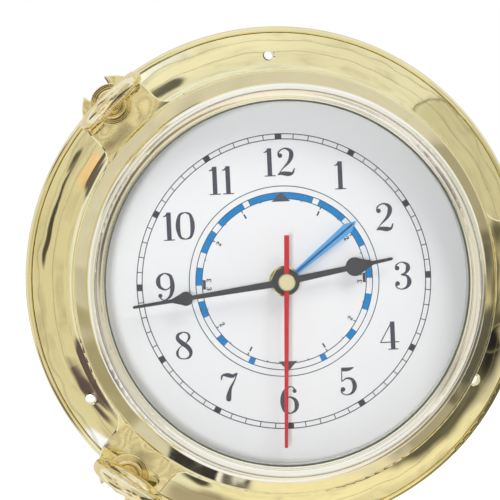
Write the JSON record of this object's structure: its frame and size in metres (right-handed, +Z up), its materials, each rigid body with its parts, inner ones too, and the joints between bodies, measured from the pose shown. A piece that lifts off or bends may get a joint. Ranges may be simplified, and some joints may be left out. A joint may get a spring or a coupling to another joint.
{
  "type": "porthole tide clock",
  "caption": "Round brass porthole wall clock with hinged glazed bezel, ring-headed dogs, hour, minute, second and tide hands and a battery movement.",
  "frame": {"origin": "centre of the three wall screw holes, on the dial's axis, in the plane of the wall", "axes": "+X to the right and +Z up as seen from the front, the dial faces -Y, +Y points into the wall"},
  "size_m": [0.183, 0.0582, 0.183],
  "materials": {
    "brass": "polished and lacquered",
    "dog_brass": "polished and lacquered",
    "dial_paint": "satin white enamel, printed",
    "ring_steel": "bright",
    "clear_glass": "clear",
    "seal_rubber": "matt",
    "bush_brass": "turned",
    "case_plastic": "moulded",
    "knob_plastic": "moulded",
    "plate_steel": "plain",
    "train_brass": "stamped",
    "coil_copper": "enamelled copper wire",
    "board_green": "solder mask",
    "cell_wrap": "plain wrap, no marks",
    "hand_grey": "satin",
    "hand_red": "satin",
    "hand_blue": "satin"
  },
  "bodies": {
    "root": {"mount_flange": "brass", "hinge_pin": "brass", "dial_plate": "dial_paint", "dial_snap_ring": "ring_steel", "dial_washer": "bush_brass", "dial_nut": "bush_brass", "movement_case": "case_plastic", "threaded_bush": "bush_brass", "gear_plate": "plate_steel", "plate_screws": "plate_steel", "rear_cover": "case_plastic", "stator": "plate_steel", "coil_bobbin": "knob_plastic", "coil_winding": "coil_copper", "circuit_board": "board_green", "quartz_can": "plate_steel", "battery_cell": "cell_wrap", "contact_plus": "plate_steel", "contact_minus": "plate_steel"},
    "bezel": {"bezel_ring": "brass", "glass": "clear_glass", "glass_seal": "seal_rubber", "glass_retainer": "ring_steel"},
    "dog_washer_upper": {"dog_washer_upper": "dog_brass"},
    "dog_upper": {"dog_screw_upper": "dog_brass"},
    "dog_washer_lower": {"dog_washer_lower": "dog_brass"},
    "dog_lower": {"dog_screw_lower": "dog_brass"},
    "second": {"second_wheel": "train_brass", "second_hand": "hand_red", "second_cap": "bush_brass"},
    "minute": {"centre_wheel": "train_brass", "minute_hand": "hand_grey"},
    "hour": {"hour_wheel": "train_brass", "hour_hand": "hand_grey"},
    "tide": {"tide_wheel": "train_brass", "tide_hand": "hand_blue"},
    "motion": {"motion_wheel": "train_brass"},
    "third": {"third_wheel": "train_brass"},
    "fifth": {"fifth_wheel": "train_brass"},
    "rotor": {"rotor": "plate_steel"},
    "setting": {"setting_knob": "knob_plastic"}
  },
  "joints": [
    {"name": "bezel_open", "type": "hinge", "parent": "root", "child": "bezel", "pos_m": [0.085, -0.0275, 0], "axis": [0, 0, 1], "range_deg": [0, 105]},
    {"name": "dog_upper_lift", "type": "slide", "parent": "bezel", "child": "dog_washer_upper", "axis": [0, -1, 0], "range_m": [0, 0.00625]},
    {"name": "dog_upper_turn", "type": "hinge", "parent": "dog_washer_upper", "child": "dog_upper", "pos_m": [-0.05754, -0.04495, 0.06391], "axis": [0, -1, 0], "range_deg": [0, 1800]},
    {"name": "dog_lower_lift", "type": "slide", "parent": "bezel", "child": "dog_washer_lower", "axis": [0, -1, 0], "range_m": [0, 0.00625]},
    {"name": "dog_lower_turn", "type": "hinge", "parent": "dog_washer_lower", "child": "dog_lower", "pos_m": [-0.05754, -0.04495, -0.06391], "axis": [0, -1, 0], "range_deg": [0, 1800]},
    {"name": "second_spin", "type": "hinge", "parent": "root", "child": "second", "pos_m": [0, 0, 0], "axis": [0, 1, 0], "continuous": true},
    {"name": "minute_spin", "type": "hinge", "parent": "root", "child": "minute", "pos_m": [0, 0, 0], "axis": [0, 1, 0], "continuous": true},
    {"name": "hour_spin", "type": "hinge", "parent": "root", "child": "hour", "pos_m": [0, 0, 0], "axis": [0, 1, 0], "continuous": true},
    {"name": "tide_spin", "type": "hinge", "parent": "root", "child": "tide", "pos_m": [0, 0, 0], "axis": [0, 1, 0], "continuous": true},
    {"name": "third_spin", "type": "hinge", "parent": "root", "child": "third", "pos_m": [0.00889, 0, 0.00513], "axis": [0, 1, 0], "continuous": true},
    {"name": "motion_spin", "type": "hinge", "parent": "root", "child": "motion", "pos_m": [-0.00916, 0, 0.00529], "axis": [0, 1, 0], "continuous": true},
    {"name": "fifth_spin", "type": "hinge", "parent": "root", "child": "fifth", "pos_m": [-0.00909, 0, -0.00525], "axis": [0, 1, 0], "continuous": true},
    {"name": "rotor_spin", "type": "hinge", "parent": "root", "child": "rotor", "pos_m": [-0.01413, 0, -0.00525], "axis": [0, 1, 0], "continuous": true},
    {"name": "setting_turn", "type": "hinge", "parent": "root", "child": "setting", "pos_m": [-0.01697, 0, 0.0131], "axis": [0, 1, 0], "continuous": true}
  ],
  "couplings": [
    {"joint": "dog_upper_lift", "follows": "dog_upper_turn", "m_per_rad": 0.00019894},
    {"joint": "dog_lower_lift", "follows": "dog_lower_turn", "m_per_rad": 0.00019894},
    {"joint": "third_spin", "follows": "second_spin", "ratio": -0.13333},
    {"joint": "minute_spin", "follows": "second_spin", "ratio": 0.016667},
    {"joint": "motion_spin", "follows": "second_spin", "ratio": -0.0046296},
    {"joint": "hour_spin", "follows": "second_spin", "ratio": 0.0013889},
    {"joint": "tide_spin", "follows": "second_spin", "ratio": 0.0013419},
    {"joint": "fifth_spin", "follows": "second_spin", "ratio": -6},
    {"joint": "rotor_spin", "follows": "second_spin", "ratio": 30},
    {"joint": "setting_turn", "follows": "second_spin", "ratio": 0.013889}
  ]
}
